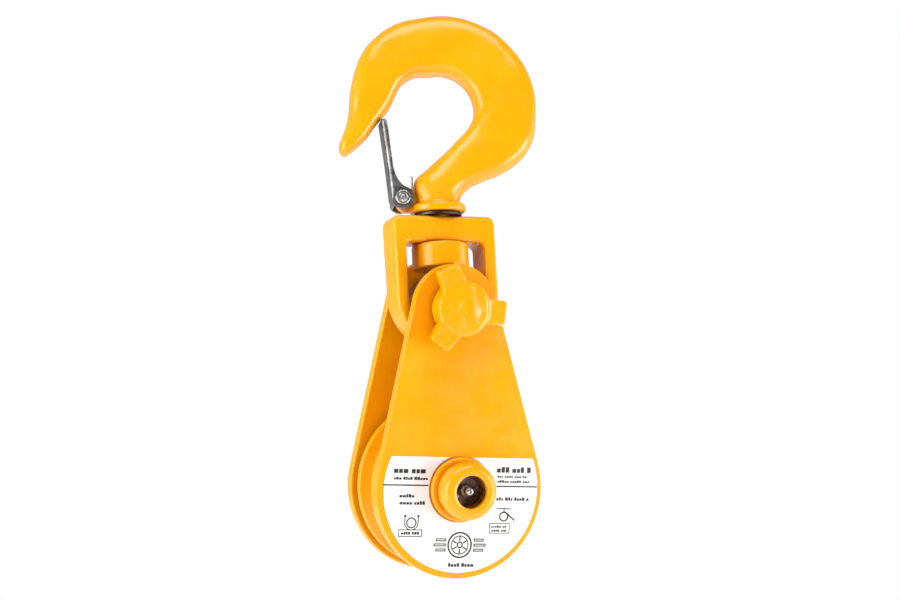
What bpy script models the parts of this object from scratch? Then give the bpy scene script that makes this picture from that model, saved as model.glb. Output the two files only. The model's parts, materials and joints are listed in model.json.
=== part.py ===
"""Snatch block: one sheave between a fixed and a swing-open side plate, hung from a swivel hook with a safety latch.

Metres, +Z up. The origin is the saddle of the hook, where the load line of a sling sits. The side plates hang
plumb below it. The yoke and its hook lean back on the top pin, and the hook is turned a little about its shank.
"""
import bpy
import bmesh
from math import acos, asin, cos, pi, radians, sin
from mathutils import Matrix, Vector

MM = 0.001

# sheave for 9.5 to 13 mm rope, on a bronze bushing
SHEAVE_R = 50.8 * MM
SHEAVE_HALF = 14.3 * MM
GROOVE_R = 7.3 * MM
GROOVE_DEPTH = 12.1 * MM
AXLE_R = 12.7 * MM
BUSHING_R = 16.0 * MM

# side plates: a large arc round the axle, a small arc round the top pin, straight flanks between
PIN_HEIGHT = 107.9 * MM
PLATE_BIG_R = 52.7 * MM
PLATE_DROP = 0.8 * MM
PLATE_SMALL_R = 26.0 * MM
PLATE_T = 6.4 * MM
OVERALL_HALF = 25.45 * MM
PLATE_INNER = OVERALL_HALF - PLATE_T
SLOT_HALF = 7.4 * MM

# hub on the front plate and the axle's head with its recess
HUB_R = 19.2 * MM
HUB_H = 4.1 * MM
HEAD_R = 16.9 * MM
HEAD_BASE_R = 15.4 * MM
HEAD_FACE_R = 12.5 * MM
HEAD_TOP = 19.5 * MM
RECESS_R = 9.8 * MM
RECESS_DEPTH = 11.5 * MM

# top pin, its sleeve, and the hand knob
PIN_R = 8.0 * MM
NECK_R = 7.0 * MM
SLEEVE_R = 16.0 * MM
KNOB_R = 16.8 * MM
KNOB_REACH = 26.6 * MM
KNOB_WING_HALF = 7.4 * MM
KNOB_BASE = 2.6 * MM
KNOB_FACE = 16.2 * MM
KNOB_FIRST_WING = 112.0

# yoke: a forged loop round the top pin, its height measured along the shank from the loop's centre
YOKE_HALF = 32.8 * MM
YOKE_WINDOW_HALF = 24.7 * MM
YOKE_DEPTH = 10.4 * MM
YOKE_FOOT_DEPTH = 7.6 * MM
YOKE_TOP = 53.9 * MM
YOKE_WINDOW_TOP = 37.5 * MM
YOKE_ARC_Z = 5.6 * MM
SHANK_R = 8.0 * MM
NUT_R = 17.0 * MM
NUT_FOOT = 22.4 * MM
COLLAR_R = 16.9 * MM
COLLAR_FOOT = 56.3 * MM
COLLAR_TOP = 61.6 * MM

# hook bowl: two arcs that are not quite concentric, so the section swells at the back
BOWL_IN = (4.2 * MM, 121.0 * MM, 21.6 * MM)
BOWL_OUT = (6.1 * MM, 121.0 * MM, 57.9 * MM)
HOOK_HALF = 12.0 * MM
LATCH_PIVOT = (-21.7 * MM, 65.7 * MM)
LATCH_HALF = 8.7 * MM
LATCH_SHEET = 1.9 * MM
LUG_HALF = 3.4 * MM
RIVET_R = 2.7 * MM

# rest pose: how the loose yoke and the hook lie relative to the plumb side plates
LEAN = radians(12.5)
TILT = radians(2.8)
HOOK_TURN = radians(-14.0)
YOKE_SHIFT = -4.8 * MM

GAP = 0.3 * MM
FAY = 0.1 * MM

YELLOW = ("yellow_paint", (1.0, 0.434, 0.0), 0.28, 0.0)
ZINC = ("zinc_steel", (0.30, 0.31, 0.32), 0.38, 1.0)
STEEL = ("turned_steel", (0.48, 0.47, 0.45), 0.32, 1.0)
BRONZE = ("bronze", (0.56, 0.34, 0.14), 0.35, 1.0)
VINYL = ("white_vinyl", (0.86, 0.86, 0.85), 0.42, 0.0)


# frames: local X stays X, local Y points up, local Z points to the front of the piece
FACE = Matrix.Rotation(pi / 2, 4, "X")
YOKE_ROT = Matrix.Rotation(TILT, 4, "Y") @ Matrix.Rotation(-LEAN, 4, "X")
HOOK_ROT = YOKE_ROT @ Matrix.Rotation(HOOK_TURN, 4, "Z")
SADDLE = Vector((BOWL_IN[0], 0.0, BOWL_IN[1] + BOWL_IN[2]))
YOKE_CENTRE = -(HOOK_ROT @ SADDLE)
PIN_CENTRE = YOKE_CENTRE - Vector((0.0, YOKE_SHIFT, 0.0))
AXLE_CENTRE = PIN_CENTRE - Vector((0.0, 0.0, PIN_HEIGHT))

HOOK = Matrix.Translation(YOKE_CENTRE) @ HOOK_ROT
YOKE = Matrix.Translation(YOKE_CENTRE) @ YOKE_ROT
HOOK_FACE = HOOK @ FACE
YOKE_FACE = YOKE @ FACE
PIN_FACE = Matrix.Translation(PIN_CENTRE) @ FACE
AXLE_FACE = Matrix.Translation(AXLE_CENTRE) @ FACE


def clear_scene():
    for obj in list(bpy.data.objects):
        bpy.data.objects.remove(obj, do_unlink=True)


def material(spec):
    name, colour, roughness, metallic = spec
    mat = bpy.data.materials.get(name) or bpy.data.materials.new(name)
    mat.use_nodes = True
    shader = mat.node_tree.nodes["Principled BSDF"]
    shader.inputs["Base Color"].default_value = (*colour, 1.0)
    shader.inputs["Roughness"].default_value = roughness
    shader.inputs["Metallic"].default_value = metallic
    return mat


def finish(name, bm, place, spec, sharp=35.0):
    """Turn a bmesh into a named object, its faces pointing out, smooth except at sharp edges."""
    bmesh.ops.remove_doubles(bm, verts=bm.verts, dist=1e-7)
    bmesh.ops.recalc_face_normals(bm, faces=bm.faces)
    mesh = bpy.data.meshes.new(name)
    bm.to_mesh(mesh)
    bm.free()
    mesh.shade_smooth()
    mesh.set_sharp_from_angle(angle=radians(sharp))
    mesh.materials.append(material(spec))
    obj = bpy.data.objects.new(name, mesh)
    obj.matrix_world = place
    bpy.context.scene.collection.objects.link(obj)
    return obj


def arc(cx, cy, r, start, end, count):
    """Points on an arc, in degrees, both ends included."""
    steps = [radians(start + (end - start) * i / (count - 1)) for i in range(count)]
    return [(cx + r * cos(a), cy + r * sin(a)) for a in steps]


def turned_mesh(profile, segments):
    """Spin a closed profile of (radius, height) points round local Z."""
    bm = bmesh.new()
    ring = [bm.verts.new((r, 0.0, h)) for r, h in profile]
    edges = [bm.edges.new((a, b)) for a, b in zip(ring, ring[1:] + ring[:1])]
    bmesh.ops.spin(bm, geom=ring + edges, cent=(0, 0, 0), axis=(0, 0, 1), angle=2 * pi, steps=segments)
    bmesh.ops.remove_doubles(bm, verts=bm.verts, dist=1e-6)
    degenerate = [f for f in bm.faces if f.calc_area() < 1e-14]
    bmesh.ops.delete(bm, geom=degenerate, context="FACES")
    return bm


def turned(name, profile, place, spec, segments=32):
    return finish(name, turned_mesh(profile, segments), place, spec)


def prism_mesh(outline, low, high):
    """Extrude a closed outline in local XY from one height to another."""
    bm = bmesh.new()
    face = bm.faces.new([bm.verts.new((x, y, low)) for x, y in outline])
    grown = bmesh.ops.extrude_face_region(bm, geom=[face])
    top = [v for v in grown["geom"] if isinstance(v, bmesh.types.BMVert)]
    bmesh.ops.translate(bm, verts=top, vec=(0, 0, high - low))
    return bm


def prism(name, outline, low, high, place, spec):
    return finish(name, prism_mesh(outline, low, high), place, spec)


def ring_loft(rings, closed):
    """Skin a row of equal rings. A closed row meets itself, an open row is capped."""
    bm = bmesh.new()
    rows = [[bm.verts.new(p) for p in ring] for ring in rings]
    pairs = list(zip(rows, rows[1:] + rows[:1])) if closed else list(zip(rows, rows[1:]))
    for a, b in pairs:
        for i in range(len(a)):
            j = (i + 1) % len(a)
            bm.faces.new((a[i], a[j], b[j], b[i]))
    if not closed:
        bm.faces.new(rows[0])
        bm.faces.new(rows[-1])
    return bm


def bevel(obj, width, segments=2, angle=40.0):
    mod = obj.modifiers.new("edge_radius", "BEVEL")
    mod.width = width
    mod.segments = segments
    mod.limit_method = "ANGLE"
    mod.angle_limit = radians(angle)
    mod.use_clamp_overlap = True
    return obj


def helper(obj):
    """A cutter or an addition, left out of the model."""
    obj.hide_render = True
    obj.display_type = "WIRE"
    return obj


def combine(obj, other, operation):
    mod = obj.modifiers.new(other.name, "BOOLEAN")
    mod.operation = operation
    mod.solver = "EXACT"
    mod.object = helper(other)
    return obj


def cylinder(name, r, low, high, place, segments=32):
    return turned(name, [(0, low), (r, low), (r, high), (0, high)], place, STEEL, segments)


def drill(obj, r, low, high, place, segments=32):
    """Cut a round hole along local Z of a place."""
    return combine(obj, cylinder("drill_" + obj.name, r, low, high, place, segments), "DIFFERENCE")


# ---------------------------------------------------------------- hook

def superellipse(inner, outer, half, square, count=18):
    """A section across the hook, from its inner point to its outer point, a given half thickness deep."""
    centre = ((inner[0] + outer[0]) / 2, (inner[1] + outer[1]) / 2)
    reach = ((outer[0] - inner[0]) / 2, (outer[1] - inner[1]) / 2)
    points = []
    for i in range(count):
        a = 2 * pi * i / count
        c = abs(cos(a)) ** (2 / square) * (1 if cos(a) >= 0 else -1)
        s = abs(sin(a)) ** (2 / square) * (1 if sin(a) >= 0 else -1)
        points.append((centre[0] + reach[0] * c, centre[1] + reach[1] * c, half * s))
    return points


def hook_stations():
    """Rows of inner x, inner y, outer x, outer y, half thickness and squareness, neck to tip, in millimetres."""
    neck = [
        (-13.6, 64.5, 13.6, 63.5, 13.4, 2.0),
        (-14.4, 70.5, 15.6, 67.2, 12.9, 2.1),
        (-12.6, 78.0, 21.0, 72.2, 12.4, 2.3),
        (-4.5, 84.8, 30.0, 76.0, 12.1, 2.6),
        (4.0, 92.0, 40.8, 80.2, 12.0, 3.0),
        (12.3, 99.6, 50.1, 86.0, 12.0, 3.2),
        (19.8, 106.8, 57.9, 94.4, 12.0, 3.4),
    ]
    bowl = []
    for degrees in (-14, 10, 34, 58, 82, 104):
        a = radians(degrees)
        (ix, iy, ir), (ox, oy, outer_r) = BOWL_IN, BOWL_OUT
        row = (ix + ir * cos(a), iy + ir * sin(a), ox + outer_r * cos(a), oy + outer_r * sin(a), HOOK_HALF)
        bowl.append(tuple(v / MM for v in row) + (3.5,))
    tip = [
        (-9.5, 141.4, -23.5, 172.6, 11.8, 3.4),
        (-17.3, 137.0, -37.5, 161.8, 11.3, 3.3),
        (-21.6, 130.0, -45.8, 147.0, 10.7, 3.1),
        (-25.6, 122.6, -49.6, 131.0, 10.1, 2.9),
        (-30.8, 116.2, -51.2, 119.5, 9.6, 2.7),
        (-35.9, 110.1, -53.2, 112.0, 9.1, 2.6),
        (-40.9, 103.9, -55.6, 106.0, 8.5, 2.6),
        (-47.0, 98.2, -57.6, 101.0, 7.6, 2.5),
        (-51.6, 94.8, -58.0, 97.4, 5.8, 2.3),
        (-53.6, 93.3, -57.2, 95.0, 3.2, 2.2),
    ]
    return neck + bowl + tip


def smooth_rows(rows, steps):
    """Catmull-Rom curve through rows of numbers, with this many steps between neighbours."""
    out = []
    for i in range(len(rows) - 1):
        p0, p1, p2, p3 = rows[max(i - 1, 0)], rows[i], rows[i + 1], rows[min(i + 2, len(rows) - 1)]
        for k in range(steps):
            t = k / steps
            weights = (
                -0.5 * t + t * t - 0.5 * t ** 3,
                1 - 2.5 * t * t + 1.5 * t ** 3,
                0.5 * t + 2 * t * t - 1.5 * t ** 3,
                -0.5 * t * t + 0.5 * t ** 3,
            )
            out.append([sum(w * p[j] for w, p in zip(weights, (p0, p1, p2, p3))) for j in range(len(p1))])
    out.append(list(rows[-1]))
    return out


def round_section(r, height):
    return superellipse((-r, height), (r, height), r, 2.0)


def hook():
    shank = [(SHANK_R - 1 * MM, NUT_FOOT - 0.4 * MM), (SHANK_R, NUT_FOOT + 0.8 * MM)]
    collar = [
        (SHANK_R, COLLAR_FOOT),
        (COLLAR_R - 1.2 * MM, COLLAR_FOOT),
        (COLLAR_R, COLLAR_FOOT + 1.2 * MM),
        (COLLAR_R, COLLAR_TOP - 2.2 * MM),
        (COLLAR_R - 0.8 * MM, COLLAR_TOP - 0.8 * MM),
        (13.8 * MM, COLLAR_TOP),
    ]
    rings = [round_section(r, h) for r, h in shank + collar]
    for ix, iy, ox, oy, half, square in smooth_rows(hook_stations(), 3):
        rings.append(superellipse((ix * MM, iy * MM), (ox * MM, oy * MM), half * MM, square))
    body = finish("hook", ring_loft(rings, closed=False), HOOK_FACE, YELLOW)
    lug_outline = arc(-18.6 * MM, 65.0 * MM, 7.2 * MM, 80, 270, 12) + [(-6 * MM, 58.2 * MM), (-6 * MM, 73 * MM)]
    lug = prism("lug", lug_outline, -LUG_HALF, LUG_HALF, HOOK_FACE, YELLOW)
    combine(body, bevel(lug, 0.8 * MM), "UNION")
    pivot = HOOK_FACE @ Matrix.Translation((*LATCH_PIVOT, 0))
    drill(body, RIVET_R + GAP / 2, -12 * MM, 12 * MM, pivot, 16)
    across = HOOK @ Matrix.Translation((0, 0, 28 * MM)) @ Matrix.Rotation(pi / 2, 4, "Y")
    drill(body, 2.2 * MM, -14 * MM, 14 * MM, across, 16)


def hook_nut():
    chamfer = 1.2 * MM
    bore = SHANK_R + 0.15 * MM
    top = YOKE_WINDOW_TOP - GAP
    profile = [
        (bore, NUT_FOOT),
        (NUT_R - chamfer, NUT_FOOT),
        (NUT_R, NUT_FOOT + chamfer),
        (NUT_R, top - chamfer),
        (NUT_R - chamfer, top),
        (bore, top),
    ]
    nut = turned("hook_nut", profile, HOOK, YELLOW, 40)
    across = HOOK @ Matrix.Translation((0, 0, 28 * MM)) @ Matrix.Rotation(pi / 2, 4, "Y")
    drill(nut, 2.2 * MM, -20 * MM, 20 * MM, across, 16)
    reach = NUT_R - 0.4 * MM
    profile = [(0, -reach), (1.5 * MM, -reach), (2 * MM, 0.5 * MM - reach), (2 * MM, reach - 0.5 * MM),
               (1.5 * MM, reach), (0, reach)]
    turned("hook_nut_pin", profile, across, ZINC, 16)


def thrust_washer():
    bore, r = SHANK_R + 0.5 * MM, 14.4 * MM
    low, high = YOKE_TOP + GAP, COLLAR_FOOT - GAP
    turned("thrust_washer", [(bore, low), (r, low), (r, high), (bore, high)], YOKE, STEEL)


# ---------------------------------------------------------------- latch

def latch_outline():
    px, py = LATCH_PIVOT
    back = [(-31.7, 114.7), (-32.4, 113.6), (-30.2, 90.0), (-28.8, 70.0), (-28.5, 66.4), (-27.6, 64.8)]
    ear = arc(px, py, 6.8 * MM, 205, 400, 16)
    front = [(-17.8, 71.4), (-20.6, 72.8), (-23.2, 75.6), (-25.3, 79.6), (-26.6, 85.0), (-28.8, 113.8),
             (-29.4, 114.7)]
    return [(x * MM, y * MM) for x, y in back] + ear + [(x * MM, y * MM) for x, y in front]


def safety_latch():
    bm = prism_mesh(latch_outline(), -LATCH_HALF, LATCH_HALF)
    spine = [e for e in bm.edges if all(v.co.x < -28.0 * MM for v in e.verts)
             and abs(e.verts[0].co.z - e.verts[1].co.z) < 1e-6]
    bmesh.ops.bevel(bm, geom=spine, offset=2.0 * MM, segments=3, profile=0.5, affect="EDGES")
    latch = finish("safety_latch", bm, HOOK_FACE, ZINC)
    sheet = LATCH_SHEET
    inside = [(-30.2 * MM, 116 * MM), (-26.9 * MM, 69 * MM), (-26.5 * MM, 55 * MM), (-10 * MM, 55 * MM),
              (-10 * MM, 116 * MM)]
    hollow = prism("latch_hollow", inside, sheet - LATCH_HALF, LATCH_HALF - sheet, HOOK_FACE, ZINC)
    combine(latch, hollow, "DIFFERENCE")
    pivot = HOOK_FACE @ Matrix.Translation((*LATCH_PIVOT, 0))
    drill(latch, RIVET_R + GAP / 2, -12 * MM, 12 * MM, pivot, 16)


def latch_rivet():
    top = LATCH_HALF + GAP
    head = [(RIVET_R, top), (4.6 * MM, top), (4.6 * MM, top + 0.9 * MM), (4.0 * MM, top + 1.5 * MM),
            (2.6 * MM, top + 1.5 * MM), (2.2 * MM, top + 0.9 * MM), (0, top + 0.9 * MM)]
    profile = [(r, -h) for r, h in reversed(head)] + head
    turned("latch_rivet", profile, HOOK_FACE @ Matrix.Translation((*LATCH_PIVOT, 0)), ZINC, 16)


def wire(name, points, r, place, spec):
    """A round wire through a list of points, with filled ends."""
    curve = bpy.data.curves.new(name, "CURVE")
    curve.dimensions = "3D"
    curve.bevel_depth = r
    curve.bevel_resolution = 1
    curve.render_resolution_u = 0
    curve.use_fill_caps = True
    spline = curve.splines.new("POLY")
    spline.points.add(len(points) - 1)
    for point, co in zip(spline.points, points):
        point.co = (*co, 1.0)
    curve.materials.append(material(spec))
    obj = bpy.data.objects.new(name, curve)
    obj.matrix_world = place
    bpy.context.scene.collection.objects.link(obj)
    return obj


def latch_spring():
    """Torsion spring round the rivet: a short tail towards the latch's back, the long leg on the hook's neck."""
    coil_r, low, pitch = 3.6 * MM, 4.2 * MM, 1.3 * MM
    turns, per_turn, start = 1.45, 16, 180.0
    count = int(turns * per_turn)
    points = [(-coil_r, 2.4 * MM, low), (-coil_r, 1.2 * MM, low)]
    for i in range(count + 1):
        a = radians(start + 360.0 * i / per_turn)
        points.append((coil_r * cos(a), coil_r * sin(a), low + pitch * i / per_turn))
    end = points[-1][2]
    points += [(5.4 * MM, 3.4 * MM, end), (6.2 * MM, 7.0 * MM, end), (6.3 * MM, 12.6 * MM, end)]
    wire("latch_spring", points, 0.6 * MM, HOOK_FACE @ Matrix.Translation((*LATCH_PIVOT, 0)), ZINC)


# ---------------------------------------------------------------- yoke

def loop_outline(half, top, corner, arc_z):
    """Half-round foot, straight legs and two rounded shoulders, always with the same number of points."""
    foot = arc(0, arc_z, half, 0, -180, 25)
    left = arc(corner - half, top - corner, corner, 180, 90, 6)
    right = arc(half - corner, top - corner, corner, 90, 0, 6)
    span = [(x * (half - corner), top) for x in (-0.5, 0.0, 0.5)]
    legs = [(-half, arc_z + (top - corner - arc_z) * t) for t in (0.33, 0.67)]
    return foot + legs + left + span + right + [(-x, y) for x, y in reversed(legs)]


def yoke_depth(height):
    """The forging thins towards the foot of the loop."""
    foot = YOKE_ARC_Z - YOKE_HALF
    t = min(max((height - foot) / (4 * MM - foot), 0.0), 1.0)
    return YOKE_FOOT_DEPTH + (YOKE_DEPTH - YOKE_FOOT_DEPTH) * t


def swivel_yoke():
    outer = loop_outline(YOKE_HALF, YOKE_TOP, 4.5 * MM, YOKE_ARC_Z)
    inner = loop_outline(YOKE_WINDOW_HALF, YOKE_WINDOW_TOP, 4.0 * MM, YOKE_ARC_Z + 0.2 * MM)
    rings = []
    for (ox, oy), (ix, iy) in zip(outer, inner):
        half = yoke_depth(oy)
        rings.append([(ox, oy, half), (ox, oy, -half), (ix, iy, -half), (ix, iy, half)])
    yoke = finish("swivel_yoke", ring_loft(rings, closed=True), YOKE_FACE, YELLOW)
    bevel(yoke, 2.6 * MM, 2, 60)
    drill(yoke, SHANK_R + 0.6 * MM, 30 * MM, 60 * MM, YOKE, 48)


# ---------------------------------------------------------------- side plates

def teardrop():
    lean = asin((PLATE_BIG_R - PLATE_SMALL_R) / (PIN_HEIGHT + PLATE_DROP)) * 180 / pi
    big = arc(0, -PLATE_DROP, PLATE_BIG_R, -180 - lean, lean, 43)
    small = arc(0, PIN_HEIGHT, PLATE_SMALL_R, lean, 180 - lean, 21)
    return big + small


def side_plate(name, low):
    plate = prism(name, teardrop(), low, low + PLATE_T, AXLE_FACE, YELLOW)
    drill(plate, AXLE_R + 0.4 * MM, -OVERALL_HALF - 5 * MM, OVERALL_HALF + 5 * MM, AXLE_FACE, 40)
    return plate


def front_side_plate():
    """Its slot opens sideways on an arc round the axle, so the plate swings off the pin's neck."""
    plate = side_plate("front_side_plate", PLATE_INNER)
    away = 68
    slot = arc(0, 0, PIN_HEIGHT + SLOT_HALF, away, 90, 10)
    slot += arc(0, PIN_HEIGHT, SLOT_HALF, 90, 270, 17)[1:-1]
    slot += arc(0, 0, PIN_HEIGHT - SLOT_HALF, 90, away, 10)
    cutter = prism("slot_cutter", slot, PLATE_INNER - 5 * MM, OVERALL_HALF + 5 * MM, AXLE_FACE, YELLOW)
    combine(plate, cutter, "DIFFERENCE")
    bevel(plate, 0.7 * MM, 2)


def rear_side_plate():
    plate = side_plate("rear_side_plate", -OVERALL_HALF)
    drill(plate, PIN_R + GAP, -OVERALL_HALF - 5 * MM, 0, PIN_FACE)
    bevel(plate, 0.7 * MM, 1)


def hub_ring(name, side):
    """Welded ring round the axle hole on the outside of a plate."""
    low, high = OVERALL_HALF + FAY, OVERALL_HALF + HUB_H
    bore = AXLE_R + 0.4 * MM
    profile = [(bore, low), (HUB_R, low), (HUB_R, high - 1.2 * MM), (HUB_R - 1.0 * MM, high), (bore, high)]
    turned(name, [(r, side * h) for r, h in profile], AXLE_FACE, YELLOW, 40)


def front_label():
    """Round-bottomed sticker with a straight top edge, cut out round the hub, put on slightly askew."""
    r, cx, cy, top = 49.4 * MM, 0.8 * MM, -0.6 * MM, 18.9 * MM
    start = asin((top - cy) / r) * 180 / pi
    outline = arc(cx, cy, r, -180 - start, start, 45)
    low = OVERALL_HALF + FAY
    askew = AXLE_FACE @ Matrix.Rotation(radians(-4.5), 4, "Z")
    label = prism("front_label", outline, low, low + 0.25 * MM, askew, VINYL)
    drill(label, HUB_R + 0.8 * MM, low - 3 * MM, low + 3 * MM, AXLE_FACE, 40)


# ---------------------------------------------------------------- axle and sheave

def axle():
    """Headed axle: the head is the round cap on the front plate, the rear end is threaded and cross drilled."""
    seat = OVERALL_HALF + HUB_H + GAP
    top = OVERALL_HALF + HEAD_TOP
    floor = top - RECESS_DEPTH
    rear = -OVERALL_HALF - HUB_H - GAP
    end = rear - 17 * MM
    thread = 10.8 * MM
    profile = [
        (0, end), (thread - 1 * MM, end), (thread, end + 1 * MM), (thread, rear - 0.5 * MM),
        (AXLE_R, rear + 0.5 * MM), (AXLE_R, seat), (HEAD_BASE_R, seat), (HEAD_R, seat + 3.6 * MM),
    ]
    fillet = HEAD_R - HEAD_FACE_R
    profile += arc(HEAD_FACE_R, top - fillet, fillet, 0, 90, 6)
    profile += [(RECESS_R + 0.4 * MM, top), (RECESS_R, top - 0.4 * MM), (RECESS_R, floor), (0, floor)]
    body = turned("axle", profile, AXLE_FACE, YELLOW, 40)
    hole = AXLE_FACE @ Matrix.Translation((0, 0, end + 4 * MM)) @ Matrix.Rotation(pi / 2, 4, "X")
    drill(body, 1.9 * MM, -15 * MM, 15 * MM, hole, 16)
    return floor, rear, end


def grease_nipple(floor):
    low = floor + FAY
    profile = [
        (0, low), (3.9 * MM, low), (3.9 * MM, low + 2.8 * MM), (2.3 * MM, low + 3.6 * MM), (2.3 * MM, low + 5.0 * MM),
        (2.9 * MM, low + 6.0 * MM), (2.9 * MM, low + 7.0 * MM), (1.9 * MM, low + 8.2 * MM), (0, low + 8.4 * MM),
    ]
    turned("grease_nipple", profile, AXLE_FACE, ZINC, 16)


def hex_nut(name, across_flats, bore, low, high, place, spec):
    outline = arc(0, 0, across_flats / 2 / cos(pi / 6), 0, 300, 6)
    nut = prism(name, outline, low, high, place, spec)
    drill(nut, bore, low - 5 * MM, high + 5 * MM, place)
    return bevel(nut, 0.9 * MM, 1)


def rear_axle_fasteners(rear, end):
    hex_nut("rear_axle_nut", 30 * MM, 10.8 * MM + GAP, rear - 10 * MM, rear - GAP, AXLE_FACE, YELLOW)
    eye = [(2.6 * sin(a), 15.6 - 2.6 * cos(a)) for a in (radians(d) for d in range(40, 341, 30))]
    path = [(0.9, -14.5), (0.2, -13.2), (0.0, -11.5), (0.0, 0.0), (0.0, 11.6)] + eye
    points = [(x * MM, y * MM, end + 4 * MM) for x, y in path]
    wire("axle_split_pin", points, 1.2 * MM, AXLE_FACE, ZINC)


def sheave():
    half = SHEAVE_HALF
    centre = SHEAVE_R - GROOVE_DEPTH + GROOVE_R
    groove = []
    for i in range(9):
        a = radians(-66 + 132 * i / 8)
        groove.append((centre - GROOVE_R * cos(a), GROOVE_R * sin(a)))
    bore = BUSHING_R + FAY
    side = [
        (bore, half - 0.4 * MM), (21.5 * MM, half - 0.4 * MM), (23.5 * MM, half - 4.0 * MM),
        (35.5 * MM, half - 4.6 * MM), (38.5 * MM, half), (SHEAVE_R - 1.0 * MM, half), (SHEAVE_R, half - 1.0 * MM),
        (SHEAVE_R, 9.6 * MM), (SHEAVE_R - 0.8 * MM, 8.8 * MM),
    ]
    profile = [(r, -h) for r, h in side] + groove + list(reversed(side))
    turned("sheave", profile, AXLE_FACE, YELLOW, 56)


def bronze_bushing():
    inner, length = AXLE_R + 0.1 * MM, SHEAVE_HALF - 0.4 * MM
    profile = [(inner, -length), (BUSHING_R, -length), (BUSHING_R, length), (inner, length)]
    turned("bronze_bushing", profile, AXLE_FACE, BRONZE, 56)


def side_washer(name, side):
    bore, r = AXLE_R + 0.4 * MM, 20 * MM
    low, high = SHEAVE_HALF, PLATE_INNER - GAP
    turned(name, [(bore, side * low), (r, side * low), (r, side * high), (bore, side * high)], AXLE_FACE, STEEL, 32)


# ---------------------------------------------------------------- top pin and knob

def top_pin():
    """Stud fixed in the rear plate, with a shoulder behind the front plate and a threaded neck for the knob."""
    rear, shoulder = OVERALL_HALF + 14 * MM, PLATE_INNER - GAP
    tip = OVERALL_HALF + KNOB_FACE - 4.5 * MM
    profile = [
        (0, -rear), (NECK_R - 1 * MM, -rear), (NECK_R, 1 * MM - rear), (NECK_R, -OVERALL_HALF - GAP),
        (PIN_R, -OVERALL_HALF), (PIN_R, shoulder), (NECK_R, shoulder + 0.3 * MM), (NECK_R, tip - 1 * MM),
        (NECK_R - 1 * MM, tip), (0, tip),
    ]
    turned("top_pin", profile, PIN_FACE, STEEL, 32)
    low, high = -OVERALL_HALF - 2.6 * MM, -OVERALL_HALF - GAP
    washer = [(NECK_R + GAP, low), (15 * MM, low), (15 * MM, high), (NECK_R + GAP, high)]
    turned("rear_pin_washer", washer, PIN_FACE, YELLOW)
    hex_nut("rear_pin_nut", 24 * MM, NECK_R + GAP, low - 9.3 * MM, low - GAP, PIN_FACE, YELLOW)


def pin_sleeve():
    half = PLATE_INNER - 2 * GAP
    profile = [
        (PIN_R + GAP, -half), (SLEEVE_R - 1 * MM, -half), (SLEEVE_R, 1 * MM - half), (SLEEVE_R, half - 1 * MM),
        (SLEEVE_R - 1 * MM, half), (PIN_R + GAP, half),
    ]
    turned("pin_sleeve", profile, PIN_FACE, STEEL)


def knob_washer():
    low, high = OVERALL_HALF + GAP, OVERALL_HALF + KNOB_BASE - GAP
    bore = NECK_R + GAP
    profile = [(bore, low), (15.5 * MM, low), (15.5 * MM, high), (bore, high)]
    turned("knob_washer", profile, PIN_FACE, YELLOW)


def wing_outline():
    """Hub circle with three square-ended arms, anticlockwise from the first wing."""
    root = acos((1 - (KNOB_WING_HALF / KNOB_R) ** 2) ** 0.5) * 180 / pi
    outline = []
    for k in range(3):
        heading = KNOB_FIRST_WING + 120 * k
        turn = Matrix.Rotation(radians(heading), 2)
        taper = 0.94
        tip = [
            (KNOB_REACH - 1.0 * MM, -KNOB_WING_HALF * taper), (KNOB_REACH, 0.5 * MM - KNOB_WING_HALF * taper),
            (KNOB_REACH, KNOB_WING_HALF * taper - 0.5 * MM), (KNOB_REACH - 1.0 * MM, KNOB_WING_HALF * taper),
        ]
        outline += [tuple(turn @ Vector(p)) for p in tip]
        outline += arc(0, 0, KNOB_R - 0.3 * MM, heading + root + 2, heading + 118 - root, 7)
    return outline


def wing_knob():
    base = OVERALL_HALF
    bore, floor = NECK_R + GAP, base + KNOB_FACE - 3.4 * MM
    profile = [
        (bore, base + KNOB_BASE), (KNOB_R - 0.8 * MM, base + KNOB_BASE), (KNOB_R, base + KNOB_BASE + 0.8 * MM),
        (KNOB_R, base + KNOB_FACE - 2.8 * MM), (KNOB_R - 0.7 * MM, base + KNOB_FACE - 1.3 * MM),
        (KNOB_R - 2.5 * MM, base + KNOB_FACE - 0.4 * MM), (0, base + KNOB_FACE), (0, floor), (bore, floor),
    ]
    knob = turned("wing_knob", profile, PIN_FACE, YELLOW, 40)
    wings = prism("wings", wing_outline(), base + 7.2 * MM, base + KNOB_FACE - 1.2 * MM, PIN_FACE, YELLOW)
    combine(knob, bevel(wings, 1.6 * MM, 2), "UNION")
    drill(knob, bore, base, floor, PIN_FACE, 40)


def build():
    clear_scene()
    hook()
    hook_nut()
    thrust_washer()
    safety_latch()
    latch_rivet()
    latch_spring()
    swivel_yoke()
    front_side_plate()
    rear_side_plate()
    hub_ring("front_hub_ring", 1)
    hub_ring("rear_hub_ring", -1)
    front_label()
    floor, rear, end = axle()
    grease_nipple(floor)
    rear_axle_fasteners(rear, end)
    sheave()
    bronze_bushing()
    side_washer("front_side_washer", 1)
    side_washer("rear_side_washer", -1)
    top_pin()
    pin_sleeve()
    knob_washer()
    wing_knob()


build()
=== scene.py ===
"""Looks of a snatch block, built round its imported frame.

Each visible forging, plate, casting and turned piece is rebuilt here with finer rounds than the frame has, in
the same place and to the same sizes, and painted or plated with node materials. Lengths are in metres.
Local frames: X right, Y up the piece, Z out of its front.
"""
import bmesh
import bpy
import json
import random
from math import acos, asin, cos, hypot, pi, radians, sin
from mathutils import Matrix, Vector, noise

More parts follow.
